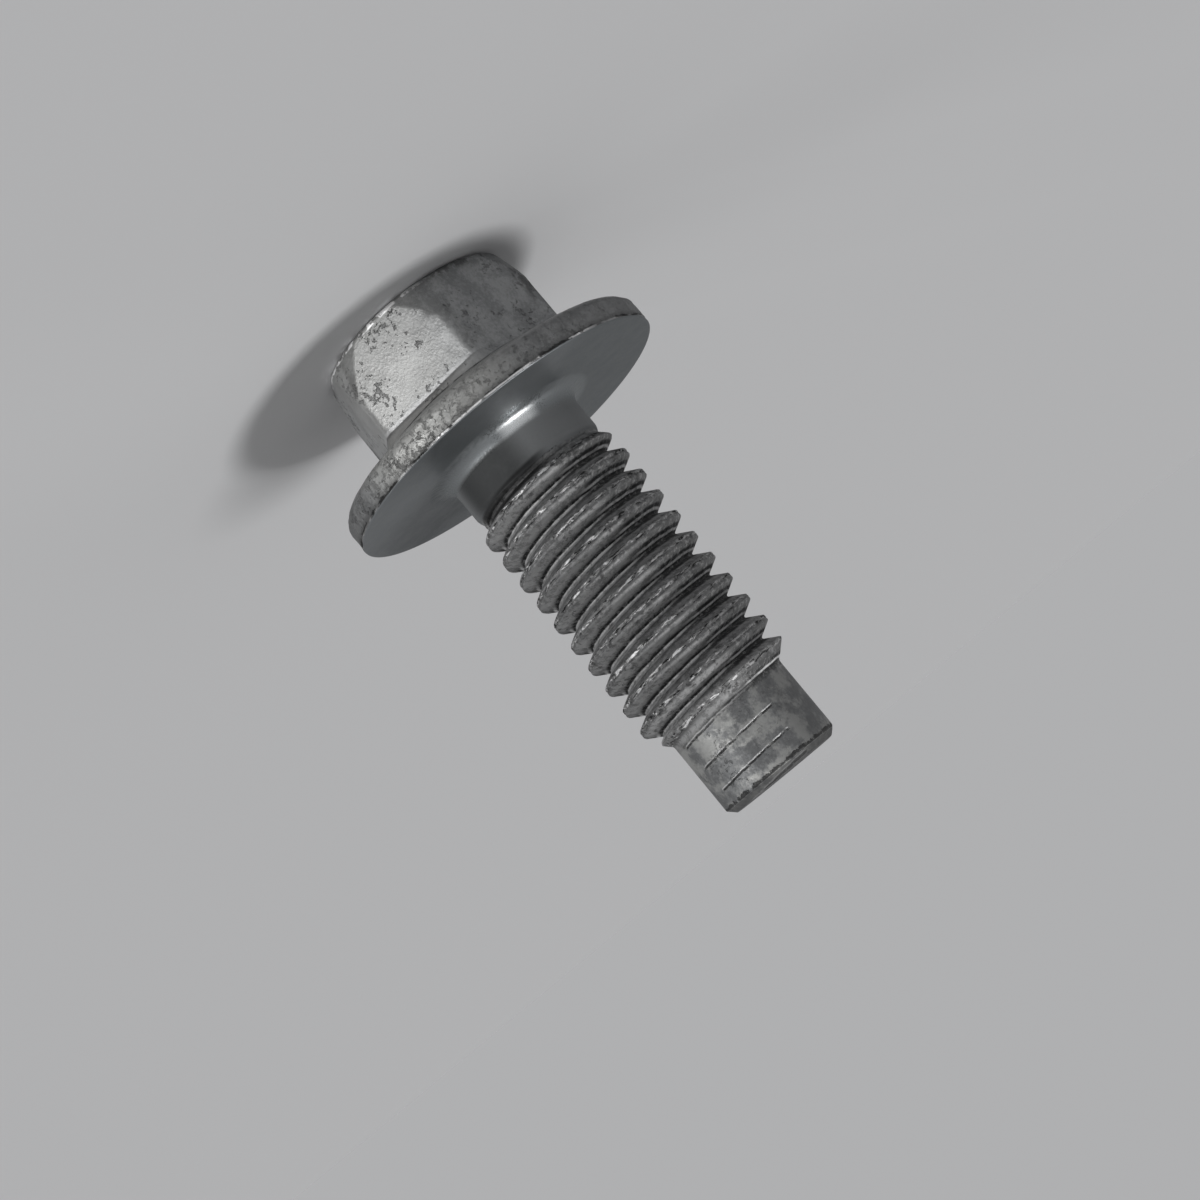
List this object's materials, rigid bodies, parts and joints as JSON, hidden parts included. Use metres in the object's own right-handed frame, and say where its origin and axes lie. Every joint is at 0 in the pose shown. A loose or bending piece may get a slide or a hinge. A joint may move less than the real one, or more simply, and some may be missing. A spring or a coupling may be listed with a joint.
{
  "type": "flange bolt",
  "caption": "Zinc-plated hex flange bolt with a conical flange, plain neck, coarse right-hand thread and plain cylindrical pilot point.",
  "frame": {"origin": "centre of the bearing face under the flange", "axes": "+Z along the shank from the head towards the tip; +X through a corner of the hexagon"},
  "size_m": [0.017, 0.017, 0.0272],
  "materials": {
    "zinc_plated_steel": "clear zinc plating over cold-forged and thread-rolled steel, dulled and spotted by handling"
  },
  "bodies": {
    "root": {"flange_bolt": "zinc_plated_steel"}
  },
  "joints": []
}
